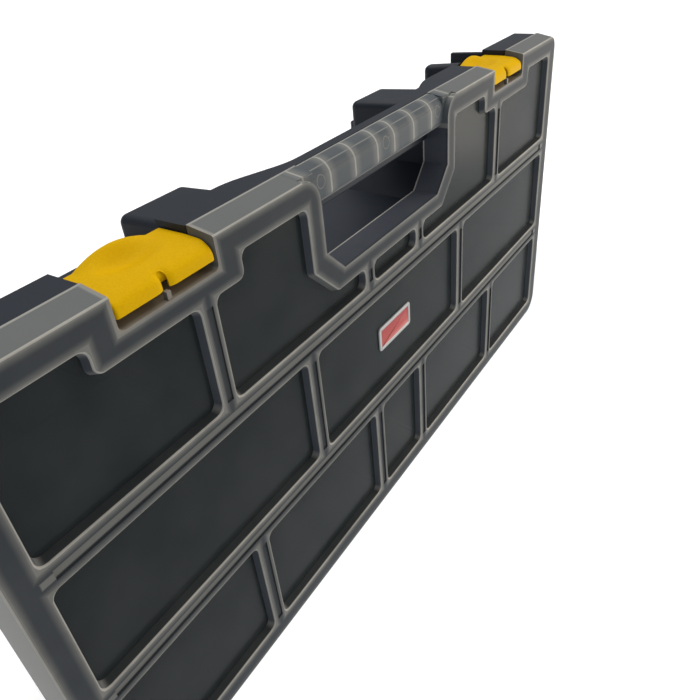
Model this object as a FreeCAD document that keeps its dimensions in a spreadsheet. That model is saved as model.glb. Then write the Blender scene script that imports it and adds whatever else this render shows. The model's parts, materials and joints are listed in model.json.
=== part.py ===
import FreeCAD, Part
import os
import re

# Carry case for small parts: a dark tray, a see-through lid with sunk panels, two latches.
# The case stands upright on its hinge side. X runs along its width, the lid faces -Y, Z is up.
# The origin is under the middle of the case, on the surface that it stands on.

doc = FreeCAD.newDocument("OrganizerCase")
sheet = doc.addObject("Spreadsheet::Sheet", "Sizes")

# Driving sizes in millimetres
SIZES = [
    # The whole case
    ("case_depth", 58.0, "lid face to tray back"),
    ("overrun", 6.0, "how far cuts run past what they cut"),
    # The lid's plate and skirt
    ("lid_width", 380.5, "lid face, side to side"),
    ("lid_height", 180.3, "lid face, bottom to top"),
    ("lid_depth", 10.0, "lid face to the skirt's back edge"),
    ("lid_flare", 1.75, "how far the skirt spreads out to its back edge"),
    ("lid_wall", 2.0, "lid plate and skirt thickness"),
    ("lid_corner_low", 12.0, "round of the lower outer corners"),
    ("lid_corner_high", 7.0, "round of the upper outer corners"),
    ("lid_edge_round", 0.9, "round along all edges of the lid's face"),
    # The sunk panels and the ribs between them
    ("panel_depth", 3.2, "how deep the panels are sunk"),
    ("panel_draft", 0.9, "how far a panel's walls lean in"),
    ("panel_corner", 3.2, "round of the panels' corners"),
    ("pan_wall", 1.6, "thickness of the sunk panels"),
    ("frame_low", 8.6, "lid frame under the panels"),
    ("frame_side", 9.3, "lid frame beside the panels"),
    ("frame_high", 9.0, "lid frame over the panels"),
    ("row_low_share", 0.2751, "lower row of panels, of the lid's height"),
    ("row_middle_share", 0.26234, "middle row of panels, of the lid's height"),
    ("row_rib", 9.3, "rib between two rows"),
    ("cross_rib", 6.5, "rib between two panels of a row"),
    ("rib_outer_share", 0.28384, "outer cross ribs from the middle, of the lid's width"),
    ("rib_middle_share", 0.16899, "middle row's cross ribs, of the lid's width"),
    ("rib_inner_share", 0.05598, "inner cross ribs, of the lid's width"),
    ("rib_ridge", 1.9, "ridge on each side of a rib's groove"),
    ("rib_groove_depth", 0.7, "depth of the groove along a rib"),
    ("rib_cap", 3.0, "plain cap at the end of a rib's groove"),
    # The handle
    ("opening_width", 98.0, "handle opening, side to side"),
    ("under_handle", 9.15, "panel under the handle's frame, bottom to top"),
    ("opening_chamfer", 10.5, "slanted lower corners of the opening"),
    ("handle_frame", 8.0, "lid frame beside the opening"),
    ("handle_frame_low", 7.5, "lid frame under the opening"),
    ("handle_frame_chamfer", 13.0, "slanted lower corners of that frame"),
    ("handle_flare", 9.0, "round where that frame runs out into the top edge"),
    ("sleeve_depth", 12.5, "lid face to the back of the opening's sleeve"),
    ("bar_drop", 12.7, "lid face's top edge to the grip bar's underside"),
    ("bar_recess", 2.6, "grip bar's front behind the lid face"),
    ("bar_sink", 0.4, "grip bar's top under the lid's highest edge"),
    ("bar_round_high", 6.0, "grip bar's upper front round"),
    ("bar_round_low", 3.6, "grip bar's lower front round"),
    ("bar_wall", 1.6, "grip bar's skin"),
    ("bar_web", 1.1, "webs inside the grip bar"),
    ("web_first_share", 0.06633, "first web from the middle, of the opening's width"),
    ("web_pitch_share", 0.16327, "from one web to the next, of the opening's width"),
    # The latches and their notches
    ("latch_share", 0.31485, "latch middle from the case's middle, of the lid's width"),
    ("notch_width", 37.4, "notch in the lid for a latch"),
    ("notch_height", 10.4, "depth of that notch from the lid face's top edge"),
    ("notch_corner", 2.0, "round of the notch's lower corners"),
    ("step_width", 57.2, "lowered panel edge under a latch"),
    ("step_height", 17.8, "lid face's top edge to the lowered panel edge"),
    ("latch_gap", 0.4, "latch to notch, each side"),
    ("latch_inset", 0.2, "latch lip behind the lid face"),
    ("latch_reach", 22.4, "lid face to the latch's back edge"),
    ("latch_sink", 1.0, "latch's flat top under the lid face's top edge"),
    ("latch_wall", 2.4, "latch thickness"),
    ("latch_round", 5.0, "latch's front round"),
    ("latch_edge_round", 1.0, "round along the latch's other top edges"),
    ("lip_lift", 3.4, "notch floor to the latch's lip"),
    ("tail_height", 5.2, "latch's hooked back edge, top to bottom"),
    ("thumb_width", 26.0, "raised thumb rest on the latch's back edge"),
    ("thumb_rise", 3.2, "height of the thumb rest"),
    ("thumb_length", 8.0, "thumb rest, front to back"),
    ("scoop_radius", 6.5, "hollow in front of the thumb rest"),
    ("scoop_depth", 2.0, "depth of that hollow"),
    ("slit_width", 2.4, "slit in the latch's lip"),
    ("slit_share", 0.485, "where the slit lies along the latch"),
    ("nub_width", 1.5, "lid nub that stands in the slit"),
    ("nub_height", 2.6, "height of the nub"),
    ("nub_depth", 1.6, "nub, front to back"),
    ("latch_axis_depth", 5.0, "lid face to the latch pivot"),
    ("latch_axis_rise", 6.2, "notch floor to the latch pivot"),
    ("latch_pin_radius", 1.2, "latch pin"),
    ("latch_barrel_radius", 2.5, "latch barrel round its pin"),
    ("pin_clearance", 0.05, "pin to hole, all round"),
    ("pin_seat", 1.6, "how far a latch pin sits in the lid's wall"),
    # The tray
    ("tray_gap", 0.5, "sunk panels to the tray's front edge"),
    ("tray_margin", 1.0, "tray's outside beyond the panels"),
    ("tray_draft", 8.5, "how far the tray's sides lean in to its back"),
    ("tray_corner", 9.0, "round of the tray's corners"),
    ("tray_back_round", 4.0, "round along the tray's back"),
    ("tray_wall", 2.0, "tray walls"),
    ("tray_floor", 2.2, "tray floor"),
    ("row_wall", 2.0, "walls between the rows"),
    ("guide_width", 1.5, "guides that hold a divider's ends, across"),
    ("guide_height", 2.0, "guides, out from the wall"),
    ("divider_wall", 1.8, "divider thickness"),
    ("divider_gap", 0.3, "divider to tray, all round"),
    # The tray's rim
    ("rim_gap", 0.4, "lid's back edge to the rim"),
    ("rim_wall", 2.0, "rim thickness"),
    ("rim_inset", 3.4, "rim inside the lid's edge, at the sides and below"),
    ("strip_depth", 12.6, "rim strip along the top, front to back"),
    ("strip_inset", 0.8, "strip inside the lid's edge, at the ends"),
    ("strip_drop", 0.4, "strip under the lid's highest edge"),
    ("grip_depth", 4.4, "strip behind the handle, front to back"),
    ("grip_drop", 5.9, "wall behind the grip bar, under the bar's lower edge"),
    ("grip_gap", 0.4, "that wall to the sleeve, at each end"),
    ("grip_wall_round", 0.8, "round of its lower edges"),
    ("grip_margin", 3.0, "where the narrow stretch ends, inside the opening's side"),
    ("grip_run", 24.0, "run-out from narrow to wide"),
    ("grip_round", 34.0, "rounds of the run-out"),
    ("ledge_drop", 9.2, "rim's top to the ledge under a latch"),
    ("ledge_depth", 5.5, "that ledge, front to back"),
    # The lugs on the back of the strip
    ("lug_left_width", 30.0, "left lug"),
    ("lug_width", 27.0, "middle lug"),
    ("lug_middle_share", 0.12746, "middle lug's middle, of the lid's width"),
    ("lug_narrow", 8.0, "narrow lug behind the right latch"),
    ("lug_right_share", 0.28909, "narrow lug's middle, of the lid's width"),
    ("guard_wall", 3.0, "guard wall beside the right latch"),
    ("guard_gap", 0.6, "guard wall to the latch"),
    ("lug_reach", 42.0, "lid face to the lugs' back"),
    ("lug_drop", 0.8, "lugs' top under the strip's, at its front"),
    ("lug_fall", 1.5, "how far a lug's top falls to its back"),
    ("lug_lean", 0.6, "how far a lug's sides lean in"),
    ("lug_round", 3.0, "round of the lugs' edges"),
    ("guard_round", 0.9, "round of the guard wall's edges"),
    # The hinge and the feet
    ("hinge_share", 0.34166, "from one hinge to the next, of the lid's width"),
    ("hinge_rise", 5.2, "standing surface to the hinge axis"),
    ("hinge_back", 4.5, "lid's back edge to the hinge axis"),
    ("knuckle_radius", 4.2, "hinge knuckles"),
    ("knuckle_length", 7.5, "each tray knuckle"),
    ("lid_knuckle_length", 14.0, "lid knuckle between two tray knuckles"),
    ("knuckle_gap", 0.4, "between knuckles"),
    ("hinge_pin_radius", 1.5, "hinge pin"),
    ("hinge_pin_inset", 0.5, "pin's ends inside the outer knuckles"),
    ("arm_rise", 1.0, "standing surface to the lid knuckle's arm"),
    ("arm_overlap", 1.5, "how far that arm runs into the lid's skirt"),
    ("foot_share", 0.34166, "feet from the middle, of the lid's width"),
    ("foot_width", 40.0, "feet, side to side"),
    ("foot_depth", 12.0, "feet, front to back"),
    ("foot_inset", 4.0, "feet in from the tray's back"),
    ("foot_round", 2.0, "round of the feet's edges"),
    # The badge plate
    ("badge_width", 28.0, "badge plate, side to side"),
    ("badge_height", 12.0, "badge plate, bottom to top"),
    ("badge_wall", 0.8, "badge plate thickness"),
    ("badge_round", 1.5, "badge plate's corners"),
]

for row, (alias, value, words) in enumerate(SIZES, start=1):
    sheet.set(f"A{row}", words)
    sheet.set(f"B{row}", str(value))
    sheet.setAlias(f"B{row}", alias)
doc.recompute()

# Places worked out from the driving sizes
PLACES = {
    "front": "-case_depth / 2",
    "rear": "case_depth / 2",
    "half_lid": "lid_width / 2",
    "half_back": "lid_width / 2 + lid_flare",
    "face_low": "lid_flare",
    "face_high": "lid_flare + lid_height",
    "crown": "lid_height + 2 * lid_flare",
    "lid_back": "front + lid_depth",
    "pan_back": "front + panel_depth + pan_wall",
    "panel_side": "lid_width / 2 - frame_side",
    "rib_outer": "lid_width * rib_outer_share",
    "rib_middle": "lid_width * rib_middle_share",
    "rib_inner": "lid_width * rib_inner_share",
    "low_z0": "face_low + frame_low",
    "low_z1": "low_z0 + lid_height * row_low_share",
    "middle_z0": "low_z1 + row_rib",
    "middle_z1": "middle_z0 + lid_height * row_middle_share",
    "high_z0": "middle_z1 + row_rib",
    "high_z1": "face_high - frame_high",
    "opening_side": "opening_width / 2",
    "frame_side_x": "opening_side + handle_frame",
    "frame_low_z": "high_z0 + under_handle",
    "opening_low": "frame_low_z + handle_frame_low",
    "bar_low": "face_high - bar_drop",
    "bar_high": "crown - bar_sink",
    "bar_front": "front + bar_recess",
    "bar_web_first": "opening_width * web_first_share",
    "bar_web_pitch": "opening_width * web_pitch_share",
    "latch_place": "lid_width * latch_share",
    "notch_low": "face_high - notch_height",
    "step_low": "face_high - step_height",
    "latch_top": "face_high - latch_sink",
    "latch_side": "notch_width / 2 - latch_gap",
    "latch_front": "front + latch_inset",
    "latch_end": "front + latch_reach",
    "latch_axis_y": "front + latch_axis_depth",
    "latch_axis_z": "notch_low + latch_axis_rise",
    "lip_low": "notch_low + lip_lift",
    "tray_front": "pan_back + tray_gap",
    "tray_side": "panel_side + tray_margin",
    "tray_low": "low_z0 - tray_margin",
    "tray_high": "high_z1 + tray_margin",
    "space_back": "rear - tray_floor",
    "wall_low_z": "low_z1 + row_rib / 2",
    "wall_high_z": "middle_z1 + row_rib / 2",
    "rim_front": "lid_back + rim_gap",
    "rim_back": "rim_front + rim_wall",
    "strip_back": "rim_front + strip_depth",
    "strip_top": "crown - strip_drop",
    "strip_end": "half_back - strip_inset",
    "grip_flat": "opening_side - grip_margin",
    "ledge_top": "strip_top - ledge_drop",
    "lug_left": "notch_width / 2 - latch_place + lug_left_width / 2",
    "lug_middle": "lid_width * lug_middle_share",
    "lug_right": "lid_width * lug_right_share",
    "lug_back": "front + lug_reach",
    "lug_top": "strip_top - lug_drop",
    "hinge_y": "lid_back + hinge_back",
    "hinge_pitch": "lid_width * hinge_share",
    "foot_place": "lid_width * foot_share",
    "guide_side": "divider_wall / 2 + divider_gap",
}


# Small helpers that bind a shape's sizes to the sheet

def formula(text):
    """Spell an expression out in the sheet's cells, opening up the named places."""
    def spell(match):
        word = match.group(0)
        if word in PLACES:
            return "(" + formula(PLACES[word]) + ")"
        return "Sizes." + word
    return re.sub(r"[a-z][a-z_0-9]*", spell, text)


def bind(piece, prop, text):
    piece.setExpression(prop, formula(text))


def size(alias):
    return float(sheet.get(alias))


def both(text):
    """A span that is the same on both sides of the middle."""
    return f"-({text})", text


def about(middle, half):
    """A span about a middle place."""
    return f"({middle}) - ({half})", f"({middle}) + ({half})"


def box(name, x, y, z):
    piece = doc.addObject("Part::Box", name)
    for side, axis, span in (("Length", "x", x), ("Width", "y", y), ("Height", "z", z)):
        bind(piece, "Placement.Base." + axis, span[0])
        bind(piece, side, f"({span[1]}) - ({span[0]})")
    return piece


def wedge(name, y, front_x, front_z, back_x, back_z):
    """A block whose front and back rectangles differ, so that its sides lean."""
    piece = doc.addObject("Part::Wedge", name)
    spans = {"Y": y, "X": front_x, "Z": front_z, "X2": back_x, "Z2": back_z}
    for letter, span in spans.items():
        bind(piece, letter + "min", span[0])
        bind(piece, letter + "max", span[1])
    return piece


def leaning(name, y, x, z, lean):
    """A block that grows by lean on every side from its front to its back."""
    back_x = (f"({x[0]}) - ({lean})", f"({x[1]}) + ({lean})")
    back_z = (f"({z[0]}) - ({lean})", f"({z[1]}) + ({lean})")
    return wedge(name, y, x, z, back_x, back_z)


def cylinder(name, turn, start, length, radius):
    piece = doc.addObject("Part::Cylinder", name)
    piece.Placement = FreeCAD.Placement(FreeCAD.Vector(), turn)
    for axis, place in zip("xyz", start):
        bind(piece, "Placement.Base." + axis, place)
    bind(piece, "Height", length)
    bind(piece, "Radius", radius)
    return piece


def rod(name, x, y, z, radius):
    """A round bar along X."""
    along_x = FreeCAD.Rotation(FreeCAD.Vector(0, 1, 0), 90)
    return cylinder(name, along_x, (x[0], y, z), f"({x[1]}) - ({x[0]})", radius)


def post(name, x, y, z, radius):
    """A round bar along Y."""
    along_y = FreeCAD.Rotation(FreeCAD.Vector(1, 0, 0), -90)
    return cylinder(name, along_y, (x, y[0], z), f"({y[1]}) - ({y[0]})", radius)


def fuse(name, *pieces):
    piece = doc.addObject("Part::MultiFuse", name)
    piece.Shapes = list(pieces)
    return piece


def common(name, *pieces):
    piece = doc.addObject("Part::MultiCommon", name)
    piece.Shapes = list(pieces)
    return piece


def cut(name, base, *tools):
    piece = doc.addObject("Part::Cut", name)
    piece.Base = base
    piece.Tool = tools[0] if len(tools) == 1 else fuse(name + "Tools", *tools)
    return piece


def eased(name, kind, base, reach, wanted):
    """Round or slant the edges of a piece that the wanted test picks."""
    doc.recompute()
    edges = [(number, reach, reach)
             for number, edge in enumerate(base.Shape.Edges, start=1) if wanted(edge)]
    if not edges:
        raise RuntimeError(name + " found no edges")
    piece = doc.addObject(kind, name)
    piece.Base = base
    piece.Edges = edges
    return piece


def rounded(name, base, reach, wanted):
    return eased(name, "Part::Fillet", base, reach, wanted)


def slanted(name, base, reach, wanted):
    return eased(name, "Part::Chamfer", base, reach, wanted)


# Tests that pick edges

def runs_along(edge, axis):
    """True where an edge runs mostly along one axis."""
    if len(edge.Vertexes) < 2:
        return False
    span = edge.Vertexes[-1].Point - edge.Vertexes[0].Point
    lengths = dict(zip("xyz", (abs(span.x), abs(span.y), abs(span.z))))
    return lengths[axis] > max(length for name, length in lengths.items() if name != axis)


def along_y(edge):
    return runs_along(edge, "y")


def along_y_below(limit):
    return lambda edge: along_y(edge) and edge.CenterOfMass.z < limit


def along_y_above(limit):
    return lambda edge: along_y(edge) and edge.CenterOfMass.z > limit


def middle_z(piece):
    doc.recompute()
    return piece.Shape.BoundBox.Center.z


# How many of the kernel's smallest steps still count as touching
TOUCH_STEPS = 100


def same(one, other):
    return abs(one - other) < Part.Precision.confusion() * TOUCH_STEPS


def across_y(place):
    """Picks edges that lie in the plane across Y through a place."""
    return lambda edge: all(same(vertex.Y, place) for vertex in edge.Vertexes)


def finish(name, base):
    """Give a finished piece the label that names its node."""
    base.Label = name
    nodes.append(base)
    return base


nodes = []
SIDES = (("left", -1), ("right", 1))


# The lid: outer block, rounded corners

lid_span = ("front", "lid_back")
lid_block = leaning("LidBlock", lid_span, both("half_lid"), ("face_low", "face_high"), "lid_flare")
lid_block = rounded("LidLowCorners", lid_block, size("lid_corner_low"), along_y_below(middle_z(lid_block)))
lid_block = rounded("LidHighCorners", lid_block, size("lid_corner_high"), along_y_above(middle_z(lid_block)))
half_depth = size("case_depth") / 2
on_lid_face = across_y(-half_depth)
lid_block = rounded("LidOuterEdge", lid_block, size("lid_edge_round"), on_lid_face)

# The lid: panel spaces of the three rows, and the pans that hold them

ROWS = {
    "Low": (("low_z0", "low_z1"), ("rib_outer", "rib_inner")),
    "Middle": (("middle_z0", "middle_z1"), ("rib_middle",)),
    "High": (("high_z0", "high_z1"), ("rib_outer", "rib_inner")),
}


def handle_block(name, grow, y, lean):
    """The frame round the handle opening, with slanted lower corners."""
    x = both(f"frame_side_x - ({grow})")
    z = (f"frame_low_z + ({grow})", "crown + overrun")
    block = leaning(name, y, x, z, lean)
    return slanted(name + "Slant", block, size("handle_frame_chamfer"), along_y_below(middle_z(block)))


def latch_steps(name, grow, y, lean):
    """The frame under each latch."""
    z = (f"step_low + ({grow})", "crown + overrun")
    half = f"step_width / 2 - ({grow})"
    return [leaning(name + side.title(), y, about(f"{sign} * latch_place", half), z, lean)
            for side, sign in SIDES]


def row_space(row, grow, deep):
    """One row's panels as solid blocks, grown on all sides, with the ribs left out between them."""
    (low, high), ribs = ROWS[row]
    name = "Space" if grow == "0" else "Pan"
    y = ("front", f"front + panel_depth + ({deep})")
    x = both(f"panel_side + ({grow})")
    z = (f"{low} - ({grow})", f"{high} + ({grow})")
    block = leaning(name + row, y, x, z, "-panel_draft")
    rib_z = (f"{low} - overrun", f"{high} + overrun")
    half = f"cross_rib / 2 - ({grow})"
    tools = []
    for rib in ribs:
        for side, sign in SIDES:
            rib_x = about(f"{sign} * {rib}", half)
            tools.append(leaning(f"{name}{row}Rib{rib.title()}{side}", y, rib_x, rib_z, "panel_draft"))
    if row == "High":
        tools.append(handle_block(name + "Handle", grow, y, "panel_draft"))
        tools += latch_steps(name + "Step", grow, y, "panel_draft")
    return cut(name + row + "Panels", block, *tools)


spaces = [rounded("Space" + row + "Round", row_space(row, "0", "0"), size("panel_corner"), along_y)
          for row in ROWS]
pans = [row_space(row, "pan_wall", "pan_wall") for row in ROWS]


# The lid: notches for the latches, and the handle opening

def notch(name, side, sign, grow, y):
    x = about(f"{sign} * latch_place", f"notch_width / 2 + {grow}")
    return box(name + side.title(), x, y, (f"notch_low - {grow}", "crown + overrun"))


def opening(name, grow, y, high):
    """The handle opening's block, with slanted lower corners."""
    block = box(name, both(f"opening_side + {grow}"), y, (f"opening_low - {grow}", high))
    return slanted(name + "Slant", block, size("opening_chamfer"), along_y_below(middle_z(block)))


past_lid = ("front - overrun", "lid_back + overrun")
housings = [notch("NotchHousing", side, sign, "lid_wall", lid_span) for side, sign in SIDES]
housings.append(opening("SleeveHousing", "lid_wall", lid_span, "crown + overrun"))
crown_x = both("opening_side + handle_flare + lid_wall")
crown_z = ("face_high - handle_flare - lid_wall", "crown + overrun")
housings.append(box("CrownHousing", crown_x, ("front", "bar_front + lid_wall"), crown_z))

hollow = leaning("LidHollow", ("front + lid_wall", "lid_back"), both("half_lid - lid_wall"),
                 ("face_low + lid_wall", "face_high - lid_wall"), "lid_flare")
hollow = rounded("LidHollowCorners", hollow, size("lid_corner_high"), along_y)
hollow = cut("LidHollowLeft", hollow, *pans, *housings)

mouths = []
for side, sign in SIDES:
    mouth = notch("Notch", side, sign, "0", past_lid)
    low_edges = along_y_below(middle_z(mouth))
    mouths.append(rounded("NotchRound" + side.title(), mouth, size("notch_corner"), low_edges))
mouths.append(opening("HandleMouth", "0", past_lid, "crown + overrun"))

# The handle frame's upper corners run out into the top edge in a round
for side, sign in SIDES:
    outer = f"{sign} * (opening_side + handle_flare)"
    span = (f"{sign} * opening_side", outer) if sign > 0 else (outer, f"{sign} * opening_side")
    depth = ("front - overrun", "bar_front")
    corner = box("Flare" + side.title(), span, depth, ("face_high - handle_flare", "crown + overrun"))
    roller = post("FlareRoller" + side.title(), outer, depth, "face_high - handle_flare", "handle_flare")
    mouths.append(cut("FlareCut" + side.title(), corner, roller))

lid = cut("LidFace", lid_block, hollow, *spaces, *mouths)
doc.recompute()
panel_marks = [edge.CenterOfMass for space in spaces for edge in space.Shape.Edges if on_lid_face(edge)]


def round_panel(edge):
    """Picks the edges where the sunk panels meet the lid's face."""
    return any(same(edge.CenterOfMass.distanceToPoint(mark), 0) for mark in panel_marks)


lid = rounded("LidPanelEdges", lid, size("lid_edge_round"), round_panel)

# The lid: sleeve behind the opening, and the hollow grip bar with its webs

sleeve_span = ("lid_back", "front + sleeve_depth")
sleeve = cut("Sleeve", opening("SleeveOuter", "lid_wall", sleeve_span, "bar_low"),
             opening("SleeveInner", "0", ("lid_back - overrun", "front + sleeve_depth + overrun"), "crown"))


def bar_shape(name, inset, x, back):
    """The grip bar's outline, rounded in front, shrunk by inset."""
    bar = box(name, x, (f"bar_front + {inset}", back), (f"bar_low + {inset}", f"bar_high - {inset}"))
    shrink = 0 if inset == "0" else size(inset)
    doc.recompute()
    limits = bar.Shape.BoundBox
    bar = rounded(name + "Low", bar, size("bar_round_low") - shrink,
                  lambda e: same(e.BoundBox.YMax, limits.YMin) and e.BoundBox.ZMax < limits.Center.z)
    return rounded(name + "High", bar, size("bar_round_high") - shrink,
                   lambda e: same(e.BoundBox.YMax, limits.YMin) and e.BoundBox.ZMin > limits.Center.z)


WEBS_PER_SIDE = 3
bar = bar_shape("Bar", "0", both("opening_side + lid_wall / 2"), "lid_back")
bar_skin = cut("BarSkin", bar, bar_shape("BarHollow", "bar_wall", both("opening_side"), "lid_back + overrun"))
webs = []
for side, sign in SIDES:
    for count in range(WEBS_PER_SIDE):
        x = about(f"{sign} * (bar_web_first + {count} * bar_web_pitch)", "bar_web / 2")
        webs.append(box(f"Web{side.title()}{count}", x, ("bar_front", "lid_back"), ("bar_low", "bar_high")))
bar_webs = common("BarWebs", bar, fuse("Webs", *webs))

# The lid: hinge knuckles on arms, and nubs in the latch notches

HINGES = (("left", -1), ("middle", 0), ("right", 1))


def hinge_span(sign, low, high):
    return f"{sign} * hinge_pitch + {low}", f"{sign} * hinge_pitch + {high}"


lid_knuckles = []
for side, sign in HINGES:
    x = hinge_span(sign, "(-lid_knuckle_length / 2)", "lid_knuckle_length / 2")
    lid_knuckles.append(rod("LidKnuckle" + side.title(), x, "hinge_y", "hinge_rise", "knuckle_radius"))
    arm_y = ("lid_back - arm_overlap", "hinge_y")
    lid_knuckles.append(box("LidArm" + side.title(), x, arm_y, ("arm_rise", "hinge_rise")))

nubs = []
for side, sign in SIDES:
    middle = f"{sign} * latch_place - latch_side + 2 * latch_side * slit_share"
    nub_y = ("latch_front + latch_inset", "latch_front + latch_inset + nub_depth")
    nub_z = ("notch_low - lid_wall / 2", "notch_low + nub_height")
    nubs.append(box("Nub" + side.title(), about(middle, "nub_width / 2"), nub_y, nub_z))

# The lid: grooves along the ribs, and holes for the pins

grooves = []
groove_y = ("front - overrun", "front + rib_groove_depth")
for name, middle in (("Low", "wall_low_z"), ("High", "wall_high_z")):
    z = about(middle, "row_rib / 2 - lid_edge_round - rib_ridge")
    grooves.append(box("Groove" + name, both("panel_side - rib_cap"), groove_y, z))
rib_tops = {
    "Low": ("low_z1", "low_z1"),
    "Middle": ("middle_z1",),
    "High": ("step_low", "frame_low_z"),
}
for row, ((low, high), ribs) in ROWS.items():
    for rib, top in zip(ribs, rib_tops[row]):
        for side, sign in SIDES:
            x = about(f"{sign} * {rib}", "cross_rib / 2 - lid_edge_round - rib_ridge / 2")
            z = (f"{low} + rib_ridge", f"{top} - rib_ridge")
            grooves.append(box(f"Groove{row}{rib.title()}{side}", x, groove_y, z))

pin_holes = []
for side, sign in SIDES:
    x = about(f"{sign} * latch_place", "notch_width / 2 + pin_seat")
    pin_holes.append(rod("LatchPinHole" + side.title(), x, "latch_axis_y", "latch_axis_z",
                         "latch_pin_radius + pin_clearance"))
for side, sign in HINGES:
    x = hinge_span(sign, "(-hinge_pitch / 2)", "hinge_pitch / 2")
    pin_holes.append(rod("HingePinHole" + side.title(), x, "hinge_y", "hinge_rise",
                         "hinge_pin_radius + pin_clearance"))

lid = fuse("LidJoined", lid, sleeve, bar_skin, bar_webs, *lid_knuckles, *nubs)
lid = finish("lid_shell", cut("Lid", lid, *grooves, *pin_holes))


# The tray: block with leaning sides, notched for the handle and the latches

def tray_block(name, inset, y):
    """The tray's outline, shrunk by inset, leaning in to the back."""
    x = both(f"tray_side - {inset}")
    z = (f"tray_low + {inset}", f"tray_high - {inset}")
    block = leaning(name, y, x, z, "-tray_draft")
    shrink = 0 if inset == "0" else size(inset)
    return rounded(name + "Corners", block, size("tray_corner") - shrink, along_y)


def tray_handle(name, grow, y, high):
    """The handle tunnel, with slanted lower corners."""
    x = both(f"frame_side_x - tray_margin + {grow}")
    block = box(name, x, y, (f"frame_low_z + tray_margin - {grow}", high))
    return slanted(name + "Slant", block, size("handle_frame_chamfer"), along_y_below(middle_z(block)))


def tray_steps(name, grow, y):
    """The lowered stretches of the tray's top wall under the latches."""
    z = (f"step_low + tray_margin - {grow}", "crown + overrun")
    half = f"step_width / 2 - tray_margin + {grow}"
    return [box(name + side.title(), about(f"{sign} * latch_place", half), y, z) for side, sign in SIDES]


past_tray = ("front", "rear + overrun")
tray = tray_block("Tray", "0", ("tray_front", "rear"))
tray = cut("TrayNotched", tray, tray_handle("Tunnel", "0", past_tray, "crown + overrun"),
           *tray_steps("TrayStep", "0", past_tray))
tray = rounded("TrayBack", tray, size("tray_back_round"), across_y(half_depth))

# The tray: the space inside, with row walls and divider guides left standing

# Lower faces of the rows inside the tray, at its front and at its floor
tray_foot = "tray_low + tray_wall"
ROW_FLOORS = {
    "Low": (tray_foot, tray_foot + " + tray_draft"),
    "Middle": ("wall_low_z + row_wall / 2", "wall_low_z + row_wall / 2"),
    "High": ("wall_high_z + row_wall / 2", "wall_high_z + row_wall / 2"),
}
# Upper faces that the dividers reach to
under_step = "step_low + tray_margin - tray_wall"
under_tunnel = "frame_low_z + tray_margin - tray_wall"
under_high_wall = "wall_high_z - row_wall / 2"
under_low_wall = "wall_low_z - row_wall / 2"
DIVIDERS = (
    ("divider_a_b", "rib_outer", -1, "High", under_step),
    ("divider_b_c", "rib_inner", -1, "High", under_tunnel),
    ("divider_c_d", "rib_inner", 1, "High", under_tunnel),
    ("divider_d_e", "rib_outer", 1, "High", under_step),
    ("divider_f_g", "rib_middle", -1, "Middle", under_high_wall),
    ("divider_g_h", "rib_middle", 1, "Middle", under_high_wall),
    ("divider_i_j", "rib_outer", -1, "Low", under_low_wall),
    ("divider_j_k", "rib_inner", -1, "Low", under_low_wall),
    ("divider_k_l", "rib_inner", 1, "Low", under_low_wall),
    ("divider_l_m", "rib_outer", 1, "Low", under_low_wall),
)


def upright(name, x, y, low, high):
    """A plate between a lower face, which may slope from front to back, and a level upper face."""
    return wedge(name, y, x, (low[0], high), x, (low[1], high))


standing = []
for name, middle in (("RowWallLow", "wall_low_z"), ("RowWallHigh", "wall_high_z")):
    z = about(middle, "row_wall / 2")
    standing.append(box(name, both("half_lid"), ("tray_front - overrun", "rear"), z))
for name, rib, sign, row, high in DIVIDERS:
    for flank, turn in SIDES:
        x = about(f"{sign} * {rib} + {turn} * (guide_side + guide_width / 2)", "guide_width / 2")
        y = ("tray_front", "space_back")
        sunk = [f"{low} - row_wall / 2" for low in ROW_FLOORS[row]]
        risen = [f"{low} + guide_height" for low in ROW_FLOORS[row]]
        standing.append(wedge(f"LowGuide_{name}_{flank}", y, x, (sunk[0], risen[0]), x, (sunk[1], risen[1])))
        top_z = (f"{high} - guide_height", f"{high} + row_wall / 2")
        standing.append(box(f"HighGuide_{name}_{flank}", x, y, top_z))

space = tray_block("TraySpace", "tray_wall", ("tray_front", "space_back"))
space = cut("TraySpaceLeft", space, tray_handle("TunnelWall", "tray_wall", past_tray, "crown + overrun"),
            *tray_steps("TrayStepWall", "tray_wall", past_tray), *standing)

# The tray: rim behind the lid's edge, with room for the lid's knuckles

rim_z = ("hinge_rise", "tray_high - tray_wall")
rim = box("Rim", both("half_back - rim_inset"), ("rim_front", "rim_back"), rim_z)
rim = rounded("RimCorners", rim, size("lid_corner_low"), along_y_below(middle_z(rim)))
relief_y = ("lid_back", "hinge_y + knuckle_radius + knuckle_gap")
relief_z = ("hinge_rise - overrun", "hinge_rise + knuckle_radius + knuckle_gap")
reliefs = []
for side, sign in HINGES:
    x = about(f"{sign} * hinge_pitch", "lid_knuckle_length / 2 + knuckle_gap")
    reliefs.append(box("Relief" + side.title(), x, relief_y, relief_z))

# The tray: channel along the top, narrow behind the handle and cut away for the latches

channel_low = "step_low + tray_margin - tray_wall"
channel = box("Channel", both("strip_end"), ("rim_front", "strip_back"), (channel_low, "strip_top"))
channel = rounded("ChannelCorners", channel, size("lid_corner_high"), along_y_above(middle_z(channel)))
channel_hollow = box("ChannelHollow", both("strip_end - rim_wall"), ("rim_back", "strip_back + overrun"),
                     (f"{channel_low} - overrun", "strip_top - rim_wall"))
channel = cut("ChannelOpen", channel, channel_hollow)
arch_z = ("strip_top - rim_wall - overrun", "strip_top + overrun")
arch = wedge("GripArch", ("rim_front + grip_depth", "strip_back"), both("grip_flat"), arch_z,
             both("grip_flat + grip_run"), arch_z)
channel = cut("ChannelArched", channel, arch)
doc.recompute()
arch_limits = arch.Shape.BoundBox
channel = rounded("ChannelArchRound", channel, size("grip_round"),
                  lambda e: runs_along(e, "z") and arch_limits.isInside(e.CenterOfMass))
latch_bays = []
ledges = []
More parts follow.
